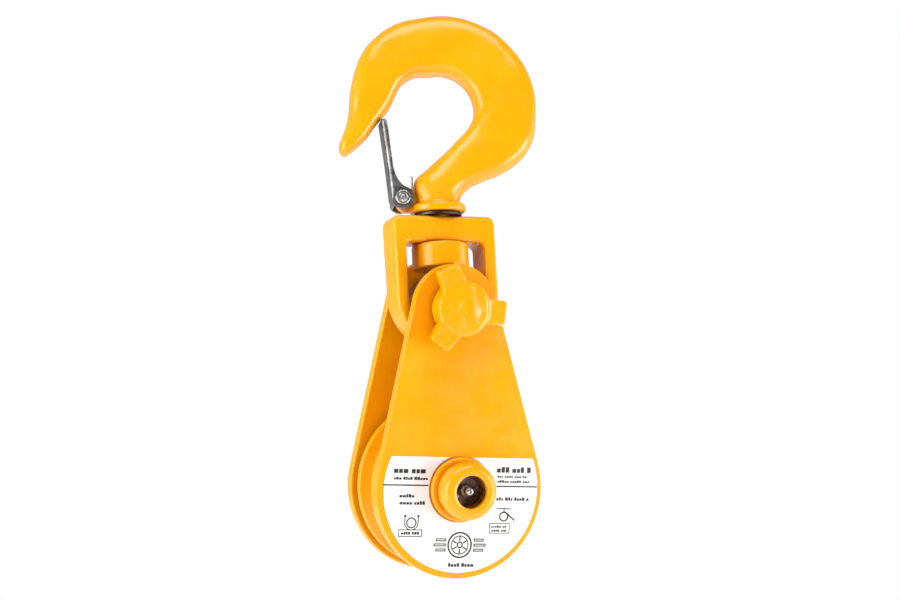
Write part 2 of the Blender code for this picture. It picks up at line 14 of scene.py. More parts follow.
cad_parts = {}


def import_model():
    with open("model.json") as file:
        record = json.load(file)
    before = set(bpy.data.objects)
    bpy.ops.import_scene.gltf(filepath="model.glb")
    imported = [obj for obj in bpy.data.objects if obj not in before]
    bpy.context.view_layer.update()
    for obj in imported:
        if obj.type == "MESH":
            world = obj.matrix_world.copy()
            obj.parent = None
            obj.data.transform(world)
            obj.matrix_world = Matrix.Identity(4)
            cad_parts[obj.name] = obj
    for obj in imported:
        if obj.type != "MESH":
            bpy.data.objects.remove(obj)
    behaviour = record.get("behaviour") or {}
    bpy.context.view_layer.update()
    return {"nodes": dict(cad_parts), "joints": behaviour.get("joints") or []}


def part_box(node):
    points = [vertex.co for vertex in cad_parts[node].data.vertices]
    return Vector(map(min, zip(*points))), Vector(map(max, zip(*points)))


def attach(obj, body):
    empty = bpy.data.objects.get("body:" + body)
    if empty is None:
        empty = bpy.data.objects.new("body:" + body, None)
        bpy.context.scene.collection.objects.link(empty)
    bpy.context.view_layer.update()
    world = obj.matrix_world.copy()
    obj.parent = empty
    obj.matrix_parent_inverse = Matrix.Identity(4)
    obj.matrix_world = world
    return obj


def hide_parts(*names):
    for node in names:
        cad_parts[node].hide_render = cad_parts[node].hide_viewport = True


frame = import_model()

MM = 0.001
JOINTS = {j["name"]: j for j in frame["joints"]}

# ---------------------------------------------------------------- places, all from the frame


def joint_place(name):
    return Vector(JOINTS[name]["pos_m"])


def joint_axis(name):
    return Vector(JOINTS[name]["axis"]).normalized()


def axes(origin, x, y):
    """A place whose local X and Y are the given directions."""
    x = (x - y * x.dot(y)).normalized()
    place = Matrix((x, y, x.cross(y))).transposed().to_4x4()
    place.translation = origin
    return place


def radius(node):
    lo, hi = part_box(node)
    return (hi.x - lo.x) / 2


UP = Vector((0.0, 0.0, 1.0))
RIGHT = Vector((1.0, 0.0, 0.0))
AXLE = joint_place("sheave_spin")
PIN = joint_place("block_swing")
SHANK = joint_axis("hook_swivel")
AXLE_FACE = axes(AXLE, RIGHT, UP)
PIN_FACE = axes(PIN, RIGHT, UP)
YOKE_FACE = axes(joint_place("hook_swivel"), joint_axis("yoke_rock"), SHANK)
HOOK_FACE = axes(joint_place("hook_swivel"), joint_axis("latch_pivot").cross(SHANK), SHANK)
UPRIGHT = Matrix.Rotation(-pi / 2, 4, "X")
LATCH_PLACE = axes(joint_place("latch_pivot"), joint_axis("latch_pivot").cross(SHANK), SHANK)

# ---------------------------------------------------------------- sizes

PLATE_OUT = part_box("rear_side_plate")[1].y - AXLE.y
PLATE_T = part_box("rear_side_plate")[1].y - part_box("rear_side_plate")[0].y
PLATE_IN = PLATE_OUT - PLATE_T
PIN_HEIGHT = PIN.z - AXLE.z
PLATE_BIG_R = radius("rear_side_plate")
PLATE_DROP = 0.8 * MM
PLATE_SMALL_R = 26.0 * MM
SLOT_HALF = 7.4 * MM
HUB_R = radius("front_hub_ring")
HUB_H = 4.1 * MM
AXLE_R = 12.7 * MM
AXLE_THREAD_R = 10.8 * MM
AXLE_TAIL = 17.0 * MM
BORE_R = AXLE_R + 0.4 * MM
THREAD_PITCH = 2.0 * MM
HEAD_R = radius("axle")
HEAD_BASE_R = 15.4 * MM
HEAD_FACE_R = 12.5 * MM
HEAD_TOP = 19.5 * MM
RECESS_R = 9.8 * MM
RECESS_DEPTH = 11.5 * MM
SHEAVE_R = radius("sheave")
SHEAVE_HALF = 14.3 * MM
GROOVE_R = 7.3 * MM
GROOVE_DEPTH = 12.1 * MM
SHEAVE_BORE = 16.1 * MM
PIN_R = 8.0 * MM
SLEEVE_R = 16.0 * MM
NECK_R = 7.0 * MM
KNOB_R = 16.8 * MM
KNOB_REACH = 26.6 * MM
KNOB_WING_HALF = 7.4 * MM
KNOB_BASE = 2.6 * MM
KNOB_TOP = 16.2 * MM
KNOB_FIRST_WING = 112.0
YOKE_HALF = 32.8 * MM
YOKE_WINDOW_HALF = 24.7 * MM
YOKE_TOP = 53.9 * MM
YOKE_WINDOW_TOP = 37.5 * MM
YOKE_ARC = 5.6 * MM
YOKE_DEPTH = 10.4 * MM
YOKE_FOOT_DEPTH = 7.6 * MM
SHANK_R = 8.0 * MM
NUT_R = 17.0 * MM
NUT_FOOT = 22.4 * MM
COLLAR_R = 16.9 * MM
COLLAR_FOOT = 56.3 * MM
COLLAR_TOP = 61.6 * MM
BOWL_IN = (4.2 * MM, 121.0 * MM, 21.6 * MM)
BOWL_OUT = (6.1 * MM, 121.0 * MM, 57.9 * MM)
HOOK_HALF = 12.0 * MM
LATCH_PIVOT = (-21.7 * MM, 65.7 * MM)
LATCH_HALF = 8.7 * MM
LATCH_SHEET = 1.9 * MM
RIVET_R = 2.7 * MM
LUG_HALF = 3.4 * MM
CROSS_HOLE_R = 2.2 * MM
CROSS_HOLE_HEIGHT = 28.0 * MM
GAP = 0.3 * MM
FAY = 0.1 * MM

# ---------------------------------------------------------------- materials

YELLOW = (0.97, 0.385, 0.0)
YELLOW_THICK = (0.95, 0.36, 0.0)
YELLOW_THIN = (1.0, 0.45, 0.003)
PAINTED_SHADE_ORANGE = (0.42, 0.13, 0.004)
PRIMER = (0.13, 0.07, 0.035)
PAINTED_SHADE_DARK = (0.03, 0.025, 0.02)
LACQUER_IOR = 1.5


class Surface:
    """A material under construction: a Principled shader with object coordinates feeding its textures."""

    def __init__(self, name, metallic=0.0, coat=0.0, coat_roughness=0.05):
        self.material = bpy.data.materials.new(name)
        self.material.use_nodes = True
        self.tree = self.material.node_tree
        self.shader = self.tree.nodes["Principled BSDF"]
        self.shader.inputs["Metallic"].default_value = metallic
        self.shader.inputs["IOR"].default_value = LACQUER_IOR
        self.shader.inputs["Coat Weight"].default_value = coat
        self.shader.inputs["Coat Roughness"].default_value = coat_roughness
        self.coords = self.tree.nodes.new("ShaderNodeTexCoord").outputs["Object"]

    def node(self, kind, **settings):
        made = self.tree.nodes.new("ShaderNode" + kind)
        for key, value in settings.items():
            setattr(made, key, value)
        return made

    def feed(self, socket, value):
        if isinstance(value, bpy.types.NodeSocket):
            self.tree.links.new(value, socket)
        elif isinstance(value, tuple) and len(value) == 3 and socket.type == "RGBA":
            socket.default_value = (*value, 1.0)
        else:
            socket.default_value = value

    def stretched(self, stretch):
        mapping = self.node("Mapping")
        self.feed(mapping.inputs["Vector"], self.coords)
        mapping.inputs["Scale"].default_value = stretch
        return mapping.outputs["Vector"]

    def noise(self, wavelength, detail=2.0, roughness=0.5, stretch=None):
        texture = self.node("TexNoise")
        where = self.stretched(stretch) if stretch else self.coords
        self.feed(texture.inputs["Vector"], where)
        texture.inputs["Scale"].default_value = 1.0 / wavelength
        texture.inputs["Detail"].default_value = detail
        texture.inputs["Roughness"].default_value = roughness
        return texture.outputs["Fac"]

    def span(self, value, low, high, to_low=0.0, to_high=1.0):
        made = self.node("MapRange", interpolation_type="SMOOTHSTEP")
        self.feed(made.inputs["Value"], value)
        for name, number in (("From Min", low), ("From Max", high), ("To Min", to_low), ("To Max", to_high)):
            made.inputs[name].default_value = number
        return made.outputs["Result"]

    def mix(self, factor, a, b):
        made = self.node("Mix", data_type="RGBA")
        self.feed(made.inputs[0], factor)
        self.feed(made.inputs[6], a)
        self.feed(made.inputs[7], b)
        return made.outputs[2]

    def maths(self, operation, a, b):
        made = self.node("Math", operation=operation)
        self.feed(made.inputs[0], a)
        self.feed(made.inputs[1], b)
        return made.outputs[0]

    def bump(self, height, distance):
        made = self.node("Bump")
        made.inputs["Distance"].default_value = distance
        self.feed(made.inputs["Height"], height)
        return made.outputs["Normal"]

    def shade(self, width):
        """1 deep in a corner or gap, 0 in the open."""
        made = self.node("AmbientOcclusion", samples=4)
        made.inputs["Distance"].default_value = width
        return self.span(made.outputs["AO"], 0.15, 0.75, 1.0, 0.0)

    def edges(self, width):
        """1 on worn outer edges, 0 on flats."""
        soft = self.node("Bevel", samples=4)
        soft.inputs["Radius"].default_value = width
        flat = self.node("NewGeometry")
        dot = self.node("VectorMath", operation="DOT_PRODUCT")
        self.feed(dot.inputs[0], soft.outputs["Normal"])
        self.feed(dot.inputs[1], flat.outputs["Normal"])
        return self.span(dot.outputs["Value"], 0.90, 0.985, 1.0, 0.0)

    def done(self, colour, roughness, normal):
        self.feed(self.shader.inputs["Base Color"], colour)
        self.feed(self.shader.inputs["Roughness"], roughness)
        self.feed(self.shader.inputs["Normal"], normal)
        return self.material


def paint(name, peel, peel_size, swells, chips):
    """Thick glossy enamel: orange peel, soft swells, thin edges, painted shade in corners and gaps, a few
    chips.
    """
    s = Surface(name)
    cloud = s.noise(26 * MM, 3.0)
    colour = s.mix(s.span(cloud, 0.35, 0.65), YELLOW_THICK, YELLOW)
    rim = s.edges(1.6 * MM)
    colour = s.mix(s.maths("MULTIPLY", rim, 0.45), colour, YELLOW_THIN)
    # Painted shade: the colour darkens to deep orange in corners and gaps, and over wider hollows such as
    # between the plates and beside the knob, where shade falls.
    colour = s.mix(s.maths("MULTIPLY", s.shade(5 * MM), 0.55), colour, PAINTED_SHADE_ORANGE)
    colour = s.mix(s.maths("MULTIPLY", s.shade(45 * MM), 0.45), colour, PAINTED_SHADE_ORANGE)
    chip = s.maths("MULTIPLY", s.span(s.noise(3.2 * MM, 5.0, 0.6), chips, chips + 0.03), rim)
    colour = s.mix(chip, colour, PRIMER)
    fine = s.noise(peel_size * MM, 1.5, 0.45)
    swell = s.noise(9 * MM, 2.0)
    height = s.maths("ADD", s.maths("MULTIPLY", fine, peel), s.maths("MULTIPLY", swell, swells))
    height = s.maths("SUBTRACT", height, s.maths("MULTIPLY", chip, 0.4))
    gloss = s.span(s.noise(14 * MM, 4.0, 0.6), 0.3, 0.7, 0.16, 0.27)
    roughness = s.maths("ADD", gloss, s.maths("MULTIPLY", chip, 0.4))
    return s.done(colour, roughness, s.bump(height, 0.4 * MM))


def steel(name, light, dark, roughness, grain_size, stretch, painted_shade=0.5):
    """Bare or plated steel with grain along one direction, cloudy plating and painted shade in the corners.
    """
    s = Surface(name, metallic=1.0)
    grain = s.noise(grain_size, 3.0, 0.6, stretch)
    cloud = s.noise(7 * MM, 4.0, 0.65)
    colour = s.mix(s.span(cloud, 0.32, 0.68), dark, light)
    colour = s.mix(s.maths("MULTIPLY", s.span(grain, 0.35, 0.65), 0.35), colour, dark)
    # Painted shade: the colour darkens to near black in corners, where shade falls.
    colour = s.mix(s.maths("MULTIPLY", s.shade(3 * MM), painted_shade), colour, PAINTED_SHADE_DARK)
    rough = s.span(s.maths("ADD", grain, cloud), 0.7, 1.3, roughness - 0.07, roughness + 0.1)
    return s.done(colour, rough, s.bump(grain, 0.05 * MM))


def bronze(name):
    s = Surface(name, metallic=1.0)
    grain = s.noise(0.5 * MM, 3.0, 0.6, (1.0, 12.0, 1.0))
    colour = s.mix(s.span(s.noise(6 * MM, 4.0), 0.3, 0.7), (0.50, 0.27, 0.10), (0.68, 0.42, 0.18))
    return s.done(colour, s.span(grain, 0.3, 0.7, 0.25, 0.42), s.bump(grain, 0.04 * MM))


def vinyl(name):
    """Glossy white film, laid by hand over painted plate: it follows the paint's swells."""
    s = Surface(name, coat=0.3, coat_roughness=0.12)
    colour = s.mix(s.span(s.noise(18 * MM, 4.0), 0.35, 0.65), (0.88, 0.87, 0.87), (0.93, 0.925, 0.93))
    dust = s.span(s.noise(0.9 * MM, 2.0), 0.66, 0.74)
    colour = s.mix(s.maths("MULTIPLY", dust, 0.25), colour, (0.6, 0.57, 0.52))
    height = s.maths("ADD", s.noise(10 * MM, 2.0), s.maths("MULTIPLY", s.noise(1.6 * MM, 2.0), 0.08))
    return s.done(colour, s.span(s.noise(8 * MM, 3.0), 0.3, 0.7, 0.3, 0.42), s.bump(height, 0.25 * MM))


def ink(name):
    s = Surface(name)
    speck = s.noise(0.35 * MM, 3.0, 0.7)
    colour = s.mix(s.span(speck, 0.55, 0.75), (0.012, 0.012, 0.015), (0.045, 0.045, 0.05))
    return s.done(colour, s.span(s.noise(4 * MM), 0.3, 0.7, 0.38, 0.5), s.bump(speck, 0.01 * MM))


# Dark brown grease; where it lines the axle head's recess it also stands in as painted shade.
def grease_and_shade(name):
    s = Surface(name, coat=0.4)
    blot = s.noise(2.5 * MM, 4.0, 0.6)
    colour = s.mix(s.span(blot, 0.3, 0.7), (0.05, 0.018, 0.004), (0.24, 0.085, 0.01))
    return s.done(colour, s.span(blot, 0.3, 0.7, 0.22, 0.5), s.bump(blot, 0.5 * MM))


MAT = {
    "forged": paint("forged_paint", peel=0.26, peel_size=2.0, swells=0.25, chips=0.76),
    "plate": paint("plate_paint", peel=0.14, peel_size=2.0, swells=0.12, chips=0.73),
    "cast": paint("cast_paint", peel=0.26, peel_size=2.4, swells=0.35, chips=0.74),
    "turned": paint("turned_paint", peel=0.16, peel_size=2.0, swells=0.3, chips=0.73),
    "latch": steel("latch_plating", (0.42, 0.42, 0.42), (0.15, 0.15, 0.15), 0.33, 0.4 * MM,
                   (9.0, 9.0, 1.0), painted_shade=0.7),
    "zinc": steel("bright_zinc", (0.62, 0.62, 0.61), (0.32, 0.32, 0.31), 0.30, 0.5 * MM, (1.0, 1.0, 1.0)),
    "bare": steel("turned_steel", (0.50, 0.49, 0.47), (0.24, 0.22, 0.20), 0.34, 0.5 * MM, (1.0, 10.0, 1.0)),
    "oiled": steel("oiled_steel", (0.15, 0.13, 0.11), (0.06, 0.045, 0.03), 0.38, 0.5 * MM, (1.0, 1.0, 1.0)),
    "bronze": bronze("bearing_bronze"),
    "vinyl": vinyl("white_vinyl"),
    "ink": ink("black_print"),
    "grease_and_shade": grease_and_shade("grease_and_painted_shade"),
}

# ---------------------------------------------------------------- mesh tools


def arc(cx, cy, r, start, end, count):
    """Points on an arc, in degrees, both ends included."""
    steps = [radians(start + (end - start) * i / (count - 1)) for i in range(count)]
    return [(cx + r * cos(a), cy + r * sin(a)) for a in steps]


def soften(points, size, steps=4):
    """Round the corners of a closed outline; corners on the axis (x = 0) stay sharp."""
    out = []
    for i, corner in enumerate(points):
        if abs(corner[0]) < 1e-9:
            out.append(corner)
            continue
        p, a, b = Vector(corner), Vector(points[i - 1]), Vector(points[(i + 1) % len(points)])
        start = p + (a - p).normalized() * min(size, (a - p).length * 0.45)
        end = p + (b - p).normalized() * min(size, (b - p).length * 0.45)
        for k in range(steps + 1):
            t = k / steps
            out.append(tuple(start * (1 - t) ** 2 + p * 2 * t * (1 - t) + end * t * t))
    return out


def skin(rings, closed):
    """Faces between neighbouring rings of points; a ring of one point is a pole."""
    bm = bmesh.new()
    rows = [[bm.verts.new(p) for p in ring] for ring in rings]
    pairs = list(zip(rows, rows[1:])) + ([(rows[-1], rows[0])] if closed else [])
    for a, b in pairs:
        if len(a) == 1 and len(b) == 1:
            continue
        for i in range(max(len(a), len(b))):
            j = i + 1
            corners = [a[i % len(a)], a[j % len(a)], b[j % len(b)], b[i % len(b)]]
            bm.faces.new(list(dict.fromkeys(corners)))
    if not closed:
        for row in (rows[0], rows[-1]):
            if len(row) > 2:
                bm.faces.new(row)
    return bm


def turned_mesh(profile, segments=96, thread=None):
    """Spin a closed profile of (radius, height) round local Z; thread is (low, high, pitch, depth)."""
    rings = []
    for r, h in profile:
        if r < 1e-9:
            rings.append([(0.0, 0.0, h)])
            continue
        ring = []
        for i in range(segments):
            turn, cut = i / segments, 0.0
            if thread and thread[0] < h < thread[1]:
                low, high, pitch, depth = thread
                fade = min(1.0, (h - low) / pitch, (high - h) / pitch)
                cut = depth * fade * abs(2 * ((h / pitch - turn) % 1.0) - 1)
            ring.append(((r - cut) * cos(2 * pi * turn), (r - cut) * sin(2 * pi * turn), h))
        rings.append(ring)
    return skin(rings, closed=True)


def prism_mesh(outline, low, high):
    bm = bmesh.new()
    face = bm.faces.new([bm.verts.new((x, y, low)) for x, y in outline])
    grown = bmesh.ops.extrude_face_region(bm, geom=[face])
    top = [v for v in grown["geom"] if isinstance(v, bmesh.types.BMVert)]
    bmesh.ops.translate(bm, verts=top, vec=(0, 0, high - low))
    return bm


def make(name, bm, place, sharp=32.0):
    """A mesh object with outward faces, in world coordinates."""
    bmesh.ops.recalc_face_normals(bm, faces=bm.faces)
    bm.transform(place)
    mesh = bpy.data.meshes.new(name)
    bm.to_mesh(mesh)
    bm.free()
    mesh.shade_smooth()
    mesh.set_sharp_from_angle(angle=radians(sharp))
    obj = bpy.data.objects.new(name, mesh)
    bpy.context.scene.collection.objects.link(obj)
    return obj


def add_bevel(obj, width, segments=3, angle=38.0):
    mod = obj.modifiers.new("bevel", "BEVEL")
    mod.width = width
    mod.segments = segments
    mod.limit_method = "ANGLE"
    mod.angle_limit = radians(angle)
    return obj


def add_boolean(obj, other, operation="DIFFERENCE"):
    mod = obj.modifiers.new("boolean", "BOOLEAN")
    mod.operation = operation
    mod.object = other
    return obj


def settle(obj, sharp=32.0, weighted=True):
    """Apply the modifiers and drop their helpers, so that the piece is one plain mesh."""
    helpers = [m.object for m in obj.modifiers if m.type == "BOOLEAN"]
    if weighted:
        obj.modifiers.new("normals", "WEIGHTED_NORMAL").keep_sharp = True
    bpy.context.view_layer.update()
    mesh = bpy.data.meshes.new_from_object(obj.evaluated_get(bpy.context.evaluated_depsgraph_get()))
    mesh.name = obj.name
    obj.modifiers.clear()
    obj.data = mesh
    for helper in helpers:
        bpy.data.objects.remove(helper, do_unlink=True)
    if not weighted:
        mesh.shade_smooth()
        mesh.set_sharp_from_angle(angle=radians(sharp))
    return obj


def piece(obj, body, material, nodes=()):
    """Give a finished object its material, its body, and the frame nodes it stands for."""
    obj.data.materials.clear()
    obj.data.materials.append(MAT[material])
    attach(obj, body)
    if nodes:
        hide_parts(*nodes)
    return obj


def turned(name, profile, place, body, material, nodes=(), segments=96, thread=None):
    obj = make(name, turned_mesh(profile, segments, thread), place)
    return piece(obj, body, material, nodes)


def pin(r, low, high, place, segments=48):
    """A plain round cutter along local Z."""
    return make("cutter", turned_mesh([(0, low), (r, low), (r, high), (0, high)], segments), place)


def ripple(obj, size, depth, seed):
    """Uneven skin of a forging or casting: push each vertex along its normal by smooth noise."""
    offset = Vector((seed * 1.7, seed * 0.9, seed * 2.3))
    normals = [v.normal.copy() for v in obj.data.vertices]
    for v, normal in zip(obj.data.vertices, normals):
        v.co += normal * depth * (noise.noise(v.co / size + offset) - 0.5)
    obj.data.update()
    return obj


def wire_mesh(points, r, sides=16):
    """A round wire through a list of points, with domed ends."""
    path = [Vector(p) for p in points]
    rings, side = [], None
    for i, p in enumerate(path):
        ahead = (path[min(i + 1, len(path) - 1)] - path[max(i - 1, 0)]).normalized()
        side = (side or ahead.orthogonal()).normalized()
        side = (side - ahead * side.dot(ahead)).normalized()
        across = ahead.cross(side)
        ends = [(0.0, 1.0)]
        if i == 0:
            ends = [(-0.7, 0.55), (0.0, 1.0)]
        elif i == len(path) - 1:
            ends = [(0.0, 1.0), (0.7, 0.55)]
        for shift, share in ends:
            centre = p + ahead * shift * r
            turns = [2 * pi * k / sides for k in range(sides)]
            rings.append([tuple(centre + (side * cos(a) + across * sin(a)) * r * share) for a in turns])
    return skin(rings, closed=False)


# ---------------------------------------------------------------- hook


def superellipse(inner, outer, half, square, count=60):
    """A section across the hook, from its inner point to its outer point, a given half thickness deep."""
    centre = ((inner[0] + outer[0]) / 2, (inner[1] + outer[1]) / 2)
    reach = ((outer[0] - inner[0]) / 2, (outer[1] - inner[1]) / 2)
    points = []
    for i in range(count):
        a = 2 * pi * i / count
        c = abs(cos(a)) ** (2 / square) * (1 if cos(a) >= 0 else -1)
        s = abs(sin(a)) ** (2 / square) * (1 if sin(a) >= 0 else -1)
        points.append((centre[0] + reach[0] * c, centre[1] + reach[1] * c, half * s))
    return points


def hook_stations():
    """Rows of inner x, y, outer x, y, half thickness and squareness, neck to tip, in millimetres."""
    neck = [
        (-13.6, 64.5, 13.6, 63.5, 13.4, 2.0), (-14.4, 70.5, 15.6, 67.2, 12.9, 2.1),
        (-12.6, 78.0, 21.0, 72.2, 12.4, 2.3), (-4.5, 84.8, 30.0, 76.0, 12.1, 2.6),
        (4.0, 92.0, 40.8, 80.2, 12.0, 3.0), (12.3, 99.6, 50.1, 86.0, 12.0, 3.2),
        (19.8, 106.8, 57.9, 94.4, 12.0, 3.4),
    ]
    bowl = []
    for degrees in (-14, 10, 34, 58, 82, 104):
        a = radians(degrees)
        (ix, iy, ir), (ox, oy, outer_r) = BOWL_IN, BOWL_OUT
        row = (ix + ir * cos(a), iy + ir * sin(a), ox + outer_r * cos(a), oy + outer_r * sin(a), HOOK_HALF)
        bowl.append(tuple(v / MM for v in row) + (3.5,))
    tip = [
        (-9.5, 141.4, -23.5, 172.6, 11.8, 3.4), (-17.3, 137.0, -37.5, 161.8, 11.3, 3.3),
        (-21.6, 130.0, -45.8, 147.0, 10.7, 3.1), (-25.6, 122.6, -49.6, 131.0, 10.1, 2.9),
        (-30.8, 116.2, -51.2, 119.5, 9.6, 2.7), (-35.9, 110.1, -53.2, 112.0, 9.1, 2.6),
        (-40.9, 103.9, -55.6, 106.0, 8.5, 2.6), (-47.0, 98.2, -57.6, 101.0, 7.6, 2.5),
        (-51.6, 94.8, -58.0, 97.4, 5.8, 2.3), (-53.6, 93.3, -57.2, 95.0, 3.2, 2.2),
    ]
    return neck + bowl + tip


def smooth_rows(rows, steps):
    """Catmull-Rom curve through rows of numbers, with this many steps between neighbours."""
    out = []
    for i in range(len(rows) - 1):
        p0, p1, p2, p3 = rows[max(i - 1, 0)], rows[i], rows[i + 1], rows[min(i + 2, len(rows) - 1)]
        for k in range(steps):
            t = k / steps
            weights = (
                -0.5 * t + t * t - 0.5 * t ** 3, 1 - 2.5 * t * t + 1.5 * t ** 3,
                0.5 * t + 2 * t * t - 1.5 * t ** 3, -0.5 * t * t + 0.5 * t ** 3,
            )
            out.append([sum(w * p[j] for w, p in zip(weights, (p0, p1, p2, p3))) for j in range(len(p1))])
    out.append(list(rows[-1]))
    return out


def hook():
    foot = [(SHANK_R - 1 * MM, NUT_FOOT - 0.4 * MM), (SHANK_R, NUT_FOOT + 0.8 * MM), (SHANK_R, COLLAR_FOOT)]
    flange = arc(COLLAR_R - 1.6 * MM, COLLAR_FOOT + 1.6 * MM, 1.6 * MM, -90, 0, 6)
    flange += arc(COLLAR_R - 2.2 * MM, COLLAR_TOP - 1.9 * MM, 2.2 * MM, 0, 75, 7)
    root = [(13.7 * MM, COLLAR_TOP + 0.2 * MM), (13.2 * MM, COLLAR_TOP + 0.7 * MM)]
    rings = [superellipse((-r, h), (r, h), r, 2.0) for r, h in foot + flange + root]
    for ix, iy, ox, oy, half, square in smooth_rows(hook_stations(), 8):
        rings.append(superellipse((ix * MM, iy * MM), (ox * MM, oy * MM), half * MM, square))
    body = make("hook_forging", skin(rings, closed=False), HOOK_FACE, 50)
    ripple(body, 13 * MM, 0.35 * MM, 1)
    outline = arc(-18.6 * MM, 65.0 * MM, 7.2 * MM, 80, 270, 32) + [(-6 * MM, 58.2 * MM), (-6 * MM, 73 * MM)]
    lug = settle(add_bevel(make("lug", prism_mesh(outline, -LUG_HALF, LUG_HALF), HOOK_FACE), 0.9 * MM, 4))
    add_boolean(body, lug, "UNION")
    add_boolean(body, pin(RIVET_R + GAP / 2, -12 * MM, 12 * MM, LATCH_PLACE))
    piece(settle(body, 40, weighted=False), "hook", "forged", ["hook"])


def hook_nut():
    bore, top = SHANK_R + 0.15 * MM, YOKE_WINDOW_TOP - GAP
    profile = soften([(bore, NUT_FOOT), (NUT_R, NUT_FOOT), (NUT_R, top), (bore, top)], 1.6 * MM, 6)
    nut = make("swivel_nut", turned_mesh(profile, 96), YOKE_FACE @ UPRIGHT)
    across = HOOK_FACE @ Matrix.Translation((0, CROSS_HOLE_HEIGHT, 0)) @ Matrix.Rotation(pi / 2, 4, "Y")
    add_boolean(nut, pin(CROSS_HOLE_R, -20 * MM, 20 * MM, across))
    piece(settle(nut), "hook", "turned", ["hook_nut"])


def thrust_washer():
    bore, r, low, high = SHANK_R + 0.5 * MM, 14.4 * MM, YOKE_TOP + GAP, COLLAR_FOOT - GAP
    profile = soften([(bore, low), (r, low), (r, high), (bore, high)], 0.5 * MM, 3)
    turned("swivel_washer", profile, YOKE_FACE @ UPRIGHT, "yoke", "oiled", ["thrust_washer"])


# ---------------------------------------------------------------- latch


def latch_outline():
    back = [(-31.7, 114.7), (-32.4, 113.6), (-30.2, 90.0), (-28.8, 70.0), (-28.5, 66.4), (-27.6, 64.8)]
    front = [(-17.8, 71.4), (-20.6, 72.8), (-23.2, 75.6), (-25.3, 79.6), (-26.6, 85.0), (-28.8, 113.8),
             (-29.4, 114.7)]
    ear = arc(*LATCH_PIVOT, 6.8 * MM, 205, 400, 56)
    curve = smooth_rows([(-17.0, 70.4)] + front[:5], 5)[2:]
    return [(x * MM, y * MM) for x, y in back] + ear + [(x * MM, y * MM) for x, y in curve + front[5:]]


def safety_latch():
    bm = prism_mesh(latch_outline(), -LATCH_HALF, LATCH_HALF)
    spine = [e for e in bm.edges if all(v.co.x < -28.0 * MM for v in e.verts)
             and abs(e.verts[0].co.z - e.verts[1].co.z) < 1e-6]
    bmesh.ops.bevel(bm, geom=spine, offset=2.4 * MM, segments=8, profile=0.5, affect="EDGES")
    latch = make("latch_sheet", bm, HOOK_FACE)
    inside = [(-30.2, 116.0), (-26.9, 69.0), (-26.5, 55.0), (-10.0, 55.0), (-10.0, 116.0)]
    half = LATCH_HALF - LATCH_SHEET
    hollow = prism_mesh([(x * MM, y * MM) for x, y in inside], -half, half)
    add_boolean(latch, make("hollow", hollow, HOOK_FACE))
    add_boolean(latch, pin(RIVET_R + GAP / 2, -12 * MM, 12 * MM, LATCH_PLACE))
    add_bevel(latch, 0.3 * MM, 2)
    piece(settle(latch), "latch", "latch", ["safety_latch"])


def latch_rivet():
    top = LATCH_HALF + GAP
    head = [(RIVET_R, top), (4.6 * MM, top), (4.6 * MM, top + 0.9 * MM), (3.9 * MM, top + 1.5 * MM),
            (2.7 * MM, top + 1.5 * MM), (2.3 * MM, top + 0.8 * MM), (1.3 * MM, top + 0.8 * MM),
            (1.0 * MM, top + 1.25 * MM), (0, top + 1.3 * MM)]
    profile = [(r, -h) for r, h in reversed(head)] + head
    turned("rivet", soften(profile, 0.3 * MM, 3), LATCH_PLACE, "hook", "zinc", ["latch_rivet"], 64)


def latch_spring():
    coil_r, low, pitch, turns, per_turn = 3.6 * MM, 4.2 * MM, 1.3 * MM, 1.45, 40
    points = [(-coil_r, 2.4 * MM, low), (-coil_r, 1.2 * MM, low)]
    for i in range(int(turns * per_turn) + 1):
        a = pi + 2 * pi * i / per_turn
        points.append((coil_r * cos(a), coil_r * sin(a), low + pitch * i / per_turn))
    end = points[-1][2]
    leg = smooth_rows([points[-2], points[-1], (5.4 * MM, 3.4 * MM, end), (6.2 * MM, 7.0 * MM, end),
                       (6.3 * MM, 12.6 * MM, end)], 6)
    spring = make("spring", wire_mesh(points[:-2] + leg, 0.6 * MM), LATCH_PLACE)
    piece(spring, "hook", "zinc", ["latch_spring"])


# ---------------------------------------------------------------- yoke


def loop_outline(half, top, corner, centre):
    """Half-round foot, straight legs and two rounded shoulders, always with the same number of points."""
    foot = arc(0, centre, half, 0, -180, 73)
    left = arc(corner - half, top - corner, corner, 180, 90, 12)
    right = arc(half - corner, top - corner, corner, 90, 0, 12)
    span = [(x * (half - corner), top) for x in (-0.75, -0.5, -0.25, 0.0, 0.25, 0.5, 0.75)]
    legs = [(-half, centre + (top - corner - centre) * k / 9) for k in range(1, 9)]
    return foot + legs + left + span + right + [(-x, y) for x, y in reversed(legs)]


def yoke_section(outer, inner, depth):
    """Rounded rectangle between an outer and an inner point, this half depth thick."""
    (ox, oy), (ix, iy) = outer, inner
    width = hypot(ox - ix, oy - iy)
    corners = soften([(width, depth), (width, -depth), (1e-6, -depth), (1e-6, depth)], 3.3 * MM, 6)
    return [(ix + (ox - ix) * x / width, iy + (oy - iy) * x / width, z) for x, z in corners]


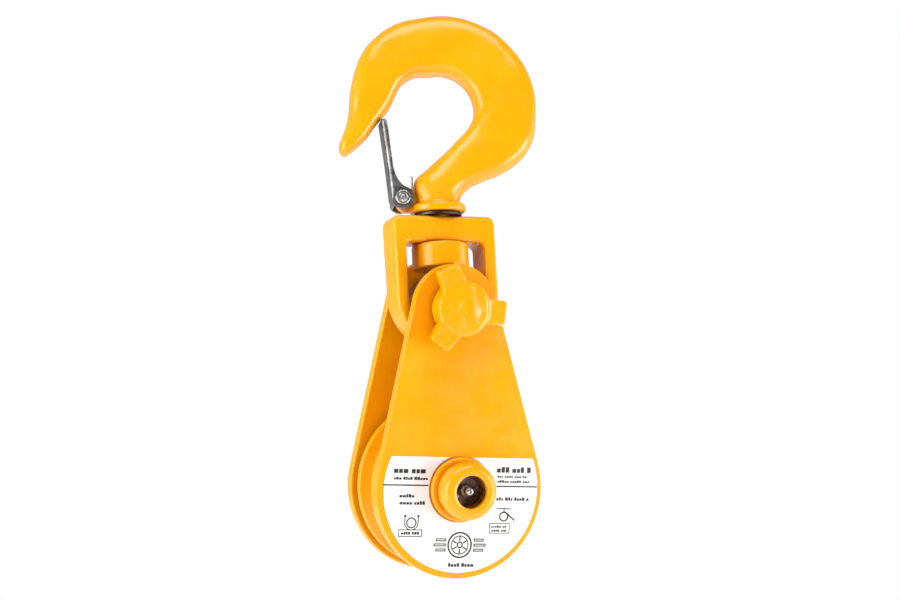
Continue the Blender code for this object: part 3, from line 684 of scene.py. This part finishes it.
def swivel_yoke():
    outer = loop_outline(YOKE_HALF, YOKE_TOP, 4.5 * MM, YOKE_ARC)
    inner = loop_outline(YOKE_WINDOW_HALF, YOKE_WINDOW_TOP, 4.0 * MM, YOKE_ARC + 0.2 * MM)
    rings = []
    for o, i in zip(outer, inner):
        foot = YOKE_ARC - YOKE_HALF
        rise = min(max((o[1] - foot) / (4 * MM - foot), 0.0), 1.0)
        rings.append(yoke_section(o, i, YOKE_FOOT_DEPTH + (YOKE_DEPTH - YOKE_FOOT_DEPTH) * rise))
    yoke = make("yoke_forging", skin(rings, closed=True), YOKE_FACE, 50)
    ripple(yoke, 11 * MM, 0.25 * MM, 2)
    add_boolean(yoke, pin(SHANK_R + 0.6 * MM, 30 * MM, 60 * MM, YOKE_FACE @ UPRIGHT, 64))
    piece(settle(yoke, 40, weighted=False), "yoke", "forged", ["swivel_yoke"])


# ---------------------------------------------------------------- side plates


def teardrop():
    lean = asin((PLATE_BIG_R - PLATE_SMALL_R) / (PIN_HEIGHT + PLATE_DROP)) * 180 / pi
    big = arc(0, -PLATE_DROP, PLATE_BIG_R, -180 - lean, lean, 150)
    return big + arc(0, PIN_HEIGHT, PLATE_SMALL_R, lean, 180 - lean, 60)


def side_plate(name, low):
    plate = make(name, prism_mesh(teardrop(), low, low + PLATE_T), AXLE_FACE)
    return add_boolean(plate, pin(BORE_R, -40 * MM, 40 * MM, AXLE_FACE, 96))


def front_side_plate():
    plate = side_plate("front_plate", PLATE_IN)
    away = 68
    slot = arc(0, 0, PIN_HEIGHT + SLOT_HALF, away, 90, 24)
    slot += arc(0, PIN_HEIGHT, SLOT_HALF, 90, 270, 40)[1:-1]
    slot += arc(0, 0, PIN_HEIGHT - SLOT_HALF, 90, away, 24)
    add_boolean(plate, make("slot", prism_mesh(slot, PLATE_IN - 5 * MM, PLATE_OUT + 5 * MM), AXLE_FACE))
    add_bevel(plate, 1.0 * MM, 4)
    piece(settle(plate), "front_plate", "plate", ["front_side_plate"])


def rear_side_plate():
    plate = side_plate("rear_plate", -PLATE_OUT)
    add_boolean(plate, pin(PIN_R + GAP, -PLATE_OUT - 5 * MM, 0, PIN_FACE, 64))
    add_bevel(plate, 1.0 * MM, 4)
    piece(settle(plate), "frame", "plate", ["rear_side_plate"])


def hub_ring(name, node, side, body):
    low, high, bore = PLATE_OUT + FAY, PLATE_OUT + HUB_H, BORE_R
    profile = soften([(bore, low), (HUB_R, low), (HUB_R, high), (bore, high)], 1.1 * MM, 5)
    profile = [(r, side * h) for r, h in profile]
    turned(name, profile, AXLE_FACE, body, "turned", [node], 128)


# ---------------------------------------------------------------- label

LABEL_TOP = PLATE_OUT + FAY + 0.25 * MM
INK_TOP = LABEL_TOP + 0.05 * MM
ASKEW = AXLE_FACE @ Matrix.Rotation(radians(-4.5), 4, "Z")
LABEL_CENTRE = (0.8 * MM, -0.6 * MM)
LABEL_R = 49.4 * MM
LABEL_EDGE = 18.9 * MM


def front_label():
    start = asin((LABEL_EDGE - LABEL_CENTRE[1]) / LABEL_R) * 180 / pi
    outline = arc(*LABEL_CENTRE, LABEL_R, -180 - start, start, 160)
    low = PLATE_OUT + FAY
    label = make("label_film", prism_mesh(outline, low, LABEL_TOP), ASKEW)
    add_boolean(label, pin(HUB_R + 0.8 * MM, low - 3 * MM, low + 3 * MM, AXLE_FACE, 128))
    piece(settle(add_bevel(label, 0.06 * MM, 2)), "front_plate", "vinyl", ["front_label"])


def stamp(outlines):
    """Raised ink: each outline is a thin prism just above the film."""
    made = bmesh.new()
    for outline in outlines:
        bm = prism_mesh([(x * MM, y * MM) for x, y in outline], LABEL_TOP + 0.005 * MM, INK_TOP)
        mesh = bpy.data.meshes.new("stamp")
        bm.to_mesh(mesh)
        bm.free()
        made.from_mesh(mesh)
        bpy.data.meshes.remove(mesh)
    return made


def block(x0, y0, x1, y1):
    return [(x0, y0), (x1, y0), (x1, y1), (x0, y1)]


def slanted(a, b, width):
    """A straight stroke from a to b."""
    along = (Vector(b) - Vector(a)).normalized()
    off = Vector((-along.y, along.x)) * width / 2
    return [tuple(p) for p in (Vector(a) - off, Vector(b) - off, Vector(b) + off, Vector(a) + off)]


def frame_of(x0, y0, x1, y1, width):
    return [block(x0, y0, x1, y0 + width), block(x0, y1 - width, x1, y1),
            block(x0, y0 + width, x0 + width, y1 - width), block(x1 - width, y0 + width, x1, y1 - width)]


def band(cx, cy, r, width, start=0.0, end=360.0, count=37):
    """Part of a ring, in short quads."""
    inner = arc(cx, cy, r - width / 2, start, end, count)
    outer = arc(cx, cy, r + width / 2, start, end, count)
    return [[inner[i], outer[i], outer[i + 1], inner[i + 1]] for i in range(count - 1)]


def dashes(x0, x1, y, height, letter, seed):
    """A line of plain blocks in word-long groups, which stands for print without being any."""
    rng, out, x = random.Random(seed), [], x0
    while x < x1 - 0.4 * letter:
        for _ in range(rng.choice((3, 4, 5))):
            wide = letter * rng.uniform(0.6, 1.0)
            if x + wide > x1:
                return out
            tall = height * rng.choice((0.72, 0.72, 1.0))
            out.append(block(x, y, x + wide, y + tall))
            x += wide + letter * 0.16
        x += letter * 0.5
    return out


def pulley_sign(cx, cy, r):
    """Line drawing of a wheel with a rope round its lower half."""
    signs = band(cx, cy, r, 0.8) + band(cx, cy, r + 1.3, 0.6, 180, 360, 25)
    for side in (-1, 1):
        x = cx + side * (r + 1.3)
        signs.append(block(x - 0.3, cy, x + 0.3, cy + r + 1.6))
        signs.append(slanted((x - 0.8, cy + r + 0.7), (x, cy + r + 1.8), 0.6))
        signs.append(slanted((x + 0.8, cy + r + 0.7), (x, cy + r + 1.8), 0.6))
    return signs


def angled_sign(cx, cy, r):
    """Line drawing of a wheel with a rope leaving at a slant."""
    signs = band(cx, cy, r, 0.9) + [slanted((cx + 0.5, cy + r + 0.3), (cx + 7.0, cy - 2.2), 0.9)]
    signs += [slanted((cx - 4.6, cy + r + 2.4), (cx + 4.6, cy + r + 2.0), 0.6)]
    return signs + [slanted((cx, cy + r + 0.3), (cx, cy + r + 2.2), 0.6)]


def emblem(cx, cy):
    """A plain wheel between two stacks of bars."""
    out = band(cx, cy, 7.4, 1.0, count=61) + band(cx, cy, 5.4, 0.6, count=49) + band(cx, cy, 1.6, 0.8)
    for k in range(6):
        a = radians(60 * k + 30)
        near, far = [(cx + reach * cos(a), cy + reach * sin(a)) for reach in (2.3, 5.1)]
        out.append(slanted(near, far, 0.8))
    for side in (-1, 1):
        for k, reach in enumerate((15.4, 16.8, 15.4)):
            near, far, y = cx + side * 8.9, cx + side * reach, cy + 3.0 * (1 - k)
            out += frame_of(min(near, far), y - 0.9, max(near, far), y + 0.9, 0.65)
    return out


def label_print():
    rule, height = 0.8, 1.9
    low, high = height - rule / 2, height + rule / 2
    shapes = [block(-48.9, low, -20.4, high), block(20.4, low, 49.9, high)]
    shapes += dashes(-42.7, -21.5, 9.0, 3.4, 3.3, 1) + dashes(-42.5, -20.6, 5.1, 1.7, 1.7, 2)
    shapes += dashes(23.2, 46.2, 10.2, 3.3, 3.0, 3) + dashes(23.8, 43.8, 7.1, 1.4, 1.5, 4)
    shapes += dashes(23.8, 46.3, 4.1, 1.5, 1.6, 5)
    shapes += dashes(-38.4, -26.6, -5.4, 2.0, 2.0, 6) + dashes(-38.2, -21.7, -9.6, 2.0, 2.0, 7)
    shapes += dashes(23.8, 45.6, -6.6, 2.0, 1.9, 8)
    shapes += pulley_sign(-30.0, -20.4, 2.9) + frame_of(-38.0, -28.7, -23.0, -24.3, 0.55)
    shapes += dashes(-36.2, -24.6, -27.4, 1.7, 1.7, 9)
    shapes += angled_sign(29.2, -16.2, 2.6) + frame_of(20.0, -26.4, 33.4, -20.2, 0.5)
    shapes += dashes(21.2, 32.4, -22.9, 1.3, 1.4, 10) + dashes(21.6, 31.8, -25.3, 1.3, 1.4, 11)
    shapes += emblem(1.6, -33.4) + dashes(-5.2, 11.2, -46.4, 2.2, 2.0, 12)
    print_mesh = make("label_print", stamp(shapes), ASKEW)
    piece(print_mesh, "front_plate", "ink")


# ---------------------------------------------------------------- axle and sheave


def thread_profile(r, low, high, pitch):
    """Rows along a thread, close enough together to carry its helix."""
    count = int((high - low) / pitch * 8)
    return [(r, low + (high - low) * i / count) for i in range(count + 1)]


def axle():
    seat, top = PLATE_OUT + HUB_H + GAP, PLATE_OUT + HEAD_TOP
    floor, rear = top - RECESS_DEPTH, -PLATE_OUT - HUB_H - GAP
    end, r = rear - AXLE_TAIL, AXLE_THREAD_R
    fillet = HEAD_R - HEAD_FACE_R
    head = [(AXLE_R, seat), (HEAD_BASE_R, seat), (HEAD_BASE_R + 0.9 * MM, seat + 1.5 * MM),
            (HEAD_R, seat + 3.6 * MM)]
    cup = [(0, 0), (HEAD_FACE_R, top), (RECESS_R, top), (RECESS_R, floor), (0, floor)]
    lip = soften(cup, 0.9 * MM, 5)[8:]  # from the recess's rim inwards
    rounded = head + arc(HEAD_FACE_R, top - fillet, fillet, 0, 90, 16) + lip
    shaft = thread_profile(r, end + 1 * MM, rear - 0.5 * MM, THREAD_PITCH)
    profile = [(0, end), (r - 1 * MM, end)] + shaft + [(AXLE_R, rear + 0.5 * MM)] + rounded
    thread = (end + 1 * MM, rear - 1 * MM, THREAD_PITCH, 1.1 * MM)
    body = make("axle_with_head", turned_mesh(profile, 128, thread), AXLE_FACE)
    hole = AXLE_FACE @ Matrix.Translation((0, 0, end + 4 * MM)) @ Matrix.Rotation(pi / 2, 4, "X")
    add_boolean(body, pin(1.9 * MM, -15 * MM, 15 * MM, hole, 32))
    piece(settle(body, 40, weighted=False), "frame", "turned", ["axle"])
    # A film of dark grease lines the recess floor and walls up to most of its depth: real grease, and also
    # painted shade inside the recess.
    well = soften([(0, floor + 0.02 * MM), (RECESS_R - 0.05 * MM, floor + 0.02 * MM),
                   (RECESS_R - 0.05 * MM, floor + 8.6 * MM), (RECESS_R - 0.6 * MM, floor + 6.0 * MM),
                   (RECESS_R - 1.6 * MM, floor + 0.9 * MM), (0, floor + 0.5 * MM)], 0.4 * MM, 3)
    film = make("recess_grease_and_shade", turned_mesh(well, 64), AXLE_FACE)
    piece(ripple(film, 2.2 * MM, 0.25 * MM, 5), "frame", "grease_and_shade")
    return floor, rear, end


def grease_nipple(floor):
    low = floor + FAY
    profile = [(0, low), (3.9, 0.0), (3.9, 2.8), (2.3, 3.6), (2.3, 5.0), (2.9, 5.8), (2.9, 7.0), (1.9, 8.2),
               (0.9, 8.4), (0.8, 7.9), (0.5, 7.8)]
    points = [profile[0]] + [(r * MM, low + h * MM) for r, h in profile[1:]] + [(0, low + 7.8 * MM)]
    turned("nipple", soften(points, 0.3 * MM, 3), AXLE_FACE, "frame", "zinc", ["grease_nipple"], 48)


def hex_nut(name, node, across_flats, bore, low, high, place):
    outline = arc(0, 0, across_flats / 2 / cos(pi / 6), 0, 300, 6)
    nut = make(name, prism_mesh(outline, low, high), place)
    r, c = across_flats / 2, 1.1 * MM
    cone = [(0, low), (r - 0.3 * MM, low), (r + 3.2 * MM, low + 2 * c), (r + 3.2 * MM, high - 2 * c),
            (r - 0.3 * MM, high), (0, high)]
    add_boolean(nut, make("chamfer", turned_mesh(cone, 96), place), "INTERSECT")
    add_boolean(nut, pin(bore, low - 5 * MM, high + 5 * MM, place, 64))
    add_bevel(nut, 0.35 * MM, 2, 25)
    piece(settle(nut), "frame", "turned", [node])


def split_pin(end):
    eye = [(2.6 * sin(a), 15.6 - 2.6 * cos(a)) for a in (radians(d) for d in range(40, 341, 15))]
    legs = smooth_rows([(0.9, -14.5), (0.2, -13.2), (0.0, -11.5), (0.0, 0.0), (0.0, 11.6)], 6)
    points = [(x * MM, y * MM, end + 4 * MM) for x, y in legs + eye]
    cotter = make("cotter", wire_mesh(points, 1.2 * MM, 20), AXLE_FACE)
    piece(cotter, "frame", "zinc", ["axle_split_pin"])


def sheave():
    half, bore = SHEAVE_HALF, SHEAVE_BORE
    centre = SHEAVE_R - GROOVE_DEPTH + GROOVE_R
    groove = [(centre - GROOVE_R * cos(a), GROOVE_R * sin(a)) for a in
              (radians(-66 + 132 * i / 32) for i in range(33))]
    corners = [(bore, half - 0.4 * MM), (21.5 * MM, half - 0.4 * MM), (23.5 * MM, half - 4.0 * MM),
               (35.5 * MM, half - 4.6 * MM), (38.5 * MM, half), (SHEAVE_R, half), (SHEAVE_R, 9.2 * MM)]
    side = soften([(0, 0)] + corners + [(0, 9.2 * MM)], 1.4 * MM, 5)[1:-1]
    profile = [(r, -h) for r, h in side] + groove + list(reversed(side))
    wheel = make("grooved_wheel", turned_mesh(profile, 160), AXLE_FACE, 45)
    piece(ripple(wheel, 9 * MM, 0.12 * MM, 3), "sheave", "turned", ["sheave"])


# ---------------------------------------------------------------- top pin and knob


def top_pin():
    rear, shoulder, tip = PLATE_OUT + 14 * MM, PLATE_IN - GAP, PLATE_OUT + KNOB_TOP - 4.5 * MM
    stub = thread_profile(NECK_R, 1 * MM - rear, -PLATE_OUT - GAP, THREAD_PITCH)
    profile = [(0, -rear), (NECK_R - 1 * MM, -rear)] + stub + [
        (PIN_R, -PLATE_OUT), (PIN_R, shoulder), (NECK_R, shoulder + 0.3 * MM), (NECK_R, tip - 1 * MM),
        (NECK_R - 1 * MM, tip), (0, tip)]
    thread = (1 * MM - rear, -PLATE_OUT - GAP, THREAD_PITCH, 1.0 * MM)
    turned("pin_with_thread", profile, PIN_FACE, "frame", "bare", ["top_pin"], 96, thread)
    low, high = -PLATE_OUT - 2.6 * MM, -PLATE_OUT - GAP
    bore = NECK_R + GAP
    washer = soften([(bore, low), (15 * MM, low), (15 * MM, high), (bore, high)], 0.5 * MM, 3)
    turned("rear_washer", washer, PIN_FACE, "frame", "turned", ["rear_pin_washer"])
    hex_nut("pin_nut", "rear_pin_nut", 24 * MM, bore, low - 9.3 * MM, low - GAP, PIN_FACE)


def pin_sleeve():
    half, bore, r = PLATE_IN - 2 * GAP, PIN_R + GAP, SLEEVE_R
    profile = soften([(bore, -half), (r, -half), (r, half), (bore, half)], 1.2 * MM, 5)
    turned("sleeve", profile, PIN_FACE, "pin_sleeve", "bare", ["pin_sleeve"])


def knob_washer():
    low, high, bore = PLATE_OUT + GAP, PLATE_OUT + KNOB_BASE - GAP, NECK_R + GAP
    profile = soften([(bore, low), (15.5 * MM, low), (15.5 * MM, high), (bore, high)], 0.5 * MM, 3)
    turned("under_knob_washer", profile, PIN_FACE, "knob_washer", "turned", ["knob_washer"])


def wing_outline():
    """Hub circle with three square-ended arms, anticlockwise from the first wing."""
    root = acos((1 - (KNOB_WING_HALF / KNOB_R) ** 2) ** 0.5) * 180 / pi
    outline = []
    for k in range(3):
        heading = KNOB_FIRST_WING + 120 * k
        turn = Matrix.Rotation(radians(heading), 2)
        near, far = KNOB_WING_HALF * 0.94, KNOB_REACH
        tip = [(far - 1.0 * MM, -near), (far, 0.5 * MM - near), (far, near - 0.5 * MM),
               (far - 1.0 * MM, near)]
        outline += [tuple(turn @ Vector(p)) for p in tip]
        outline += arc(0, 0, KNOB_R - 0.3 * MM, heading + root + 2, heading + 118 - root, 20)
    return outline


def wing_knob():
    """One casting: hub and arms flow into each other with a soft fillet."""
    base, bore = PLATE_OUT, NECK_R + GAP
    floor = base + KNOB_TOP - 3.4 * MM
    profile = [(bore, base + KNOB_BASE), (KNOB_R, base + KNOB_BASE), (KNOB_R, base + KNOB_TOP - 2.8 * MM),
               (KNOB_R - 0.7 * MM, base + KNOB_TOP - 1.3 * MM),
               (KNOB_R - 2.5 * MM, base + KNOB_TOP - 0.4 * MM),
               (0, base + KNOB_TOP), (0, floor), (bore, floor)]
    knob = make("knob_casting", turned_mesh(profile, 96), PIN_FACE)
    wings = make("wings", prism_mesh(wing_outline(), base + 7.2 * MM, base + KNOB_TOP - 1.2 * MM), PIN_FACE)
    add_boolean(knob, settle(add_bevel(wings, 1.6 * MM, 4)), "UNION")
    add_boolean(knob, pin(bore, base, floor, PIN_FACE, 64))
    skin_over = knob.modifiers.new("skin", "REMESH")
    skin_over.mode = "VOXEL"
    skin_over.voxel_size = 0.5 * MM
    ease = knob.modifiers.new("ease", "SMOOTH")
    ease.factor = 0.5
    ease.iterations = 7
    settle(knob, 60, weighted=False)
    piece(ripple(knob, 6 * MM, 0.35 * MM, 4), "knob", "cast", ["wing_knob"])


# ---------------------------------------------------------------- the rest of the frame


def keep(node, material):
    """A frame node whose shape is right: it only gets its material."""
    obj = frame["nodes"][node]
    obj.data.materials.clear()
    obj.data.materials.append(MAT[material])


# ---------------------------------------------------------------- stage, lights, camera

FLOOR_R = 1.6
FLOOR_Z = -0.62
FLOOR_GLOW = 0.45
ROOM = 0.10
TABLE = 0.42
LIGHT_TARGET = AXLE + UP * 0.08
CAMERA_TARGET = AXLE + Vector((0.00782, 0.00322, 0.11106))
CAMERA_AZIMUTH = -22.14
CAMERA_ELEVATION = 3.05
CAMERA_ROLL = -1.17
CAMERA_DISTANCE = 1.5972
CAMERA_LENS = 105.85


def outward(azimuth, elevation):
    """Direction from the block; azimuth 0 is in front and 90 on the +X side."""
    a, e = radians(azimuth), radians(elevation)
    return Vector((sin(a) * cos(e), -cos(a) * cos(e), sin(e)))


def floor():
    """A plain pale disc well below the hanging block, glowing a little so that it stays pale."""
    s = Surface("pale_floor")
    tone = s.span(s.noise(0.35, 3.0), 0.3, 0.7)
    s.done(s.mix(tone, (0.86, 0.86, 0.86), (0.9, 0.9, 0.9)), 0.6, s.bump(s.noise(0.004), 0.0001))
    s.shader.inputs["Emission Color"].default_value = (1.0, 1.0, 1.0, 1.0)
    s.shader.inputs["Emission Strength"].default_value = FLOOR_GLOW
    turns = [2 * pi * k / 128 for k in range(128)]
    rings = [[(FLOOR_R * cos(a), FLOOR_R * sin(a), h) for a in turns] for h in (-0.01, 0)]
    disc = make("studio_floor", skin(rings, closed=False), Matrix.Translation((0, 0, FLOOR_Z)))
    disc.data.materials.append(s.material)


def softbox(name, azimuth, elevation, distance, width, height, radiance):
    """A rectangular light that faces the block."""
    back = outward(azimuth, elevation)
    light = bpy.data.lights.new(name, "AREA")
    light.shape = "RECTANGLE"
    light.size = width
    light.size_y = height
    light.energy = radiance * pi * width * height
    obj = bpy.data.objects.new(name, light)
    obj.location = LIGHT_TARGET + back * distance
    obj.rotation_mode = "QUATERNION"
    obj.rotation_quaternion = (-back).to_track_quat("-Z", "Y")
    obj.visible_camera = False
    bpy.context.scene.collection.objects.link(obj)


def world():
    """Bright behind the block, as over a white table, and dimmer on the camera's side of the room."""
    made = bpy.data.worlds.new("studio")
    bpy.context.scene.world = made
    made.use_nodes = True
    tree = made.node_tree
    background = tree.nodes["Background"]
    coords = tree.nodes.new("ShaderNodeTexCoord")
    split = tree.nodes.new("ShaderNodeSeparateXYZ")
    blend = tree.nodes.new("ShaderNodeMapRange")
    blend.interpolation_type = "SMOOTHSTEP"
    for key, value in (("From Min", -0.35), ("From Max", 0.35), ("To Min", ROOM), ("To Max", TABLE)):
        blend.inputs[key].default_value = value
    seen = tree.nodes.new("ShaderNodeLightPath")
    choose = tree.nodes.new("ShaderNodeMix")
    tree.links.new(coords.outputs["Generated"], split.inputs[0])
    tree.links.new(split.outputs["Y"], blend.inputs["Value"])
    tree.links.new(seen.outputs["Is Camera Ray"], choose.inputs[0])
    tree.links.new(blend.outputs["Result"], choose.inputs[2])
    choose.inputs[3].default_value = 1.0
    tree.links.new(choose.outputs[0], background.inputs["Strength"])
    background.inputs["Color"].default_value = (1.0, 1.0, 1.0, 1.0)


def camera():
    """Aimed a little above and right of the axle, from in front and to the left."""
    made = bpy.data.cameras.new("camera")
    made.sensor_width = 36.0
    made.lens = CAMERA_LENS
    back = outward(CAMERA_AZIMUTH, CAMERA_ELEVATION)
    obj = bpy.data.objects.new("camera", made)
    obj.location = CAMERA_TARGET + back * CAMERA_DISTANCE
    obj.rotation_mode = "QUATERNION"
    roll = Matrix.Rotation(radians(CAMERA_ROLL), 4, "Z")
    obj.rotation_quaternion = ((-back).to_track_quat("-Z", "Y").to_matrix().to_4x4() @ roll).to_quaternion()
    bpy.context.scene.collection.objects.link(obj)
    bpy.context.scene.camera = obj


def build():
    hook()
    hook_nut()
    thrust_washer()
    safety_latch()
    latch_rivet()
    latch_spring()
    swivel_yoke()
    front_side_plate()
    rear_side_plate()
    hub_ring("front_hub", "front_hub_ring", 1, "front_plate")
    hub_ring("rear_hub", "rear_hub_ring", -1, "frame")
    front_label()
    label_print()
    recess_floor, rear, end = axle()
    grease_nipple(recess_floor)
    hex_nut("axle_nut", "rear_axle_nut", 30 * MM, AXLE_THREAD_R + GAP, rear - 10 * MM, rear - GAP, AXLE_FACE)
    split_pin(end)
    sheave()
    top_pin()
    pin_sleeve()
    knob_washer()
    wing_knob()
    keep("hook_nut_pin", "zinc")
    keep("bronze_bushing", "bronze")
    keep("front_side_washer", "bare")
    keep("rear_side_washer", "bare")


build()
floor()
world()
softbox("key_right", 44, -13, 1.3, 0.5, 0.9, 10.0)
softbox("fill_left", -80, 5, 1.3, 1.0, 1.2, 4.6)
softbox("front_soft", -8, 64, 1.4, 1.4, 0.7, 4.8)
softbox("side_right", 80, -8, 1.4, 0.8, 1.2, 2.2)
camera()
bpy.context.scene.view_settings.view_transform = "Standard"
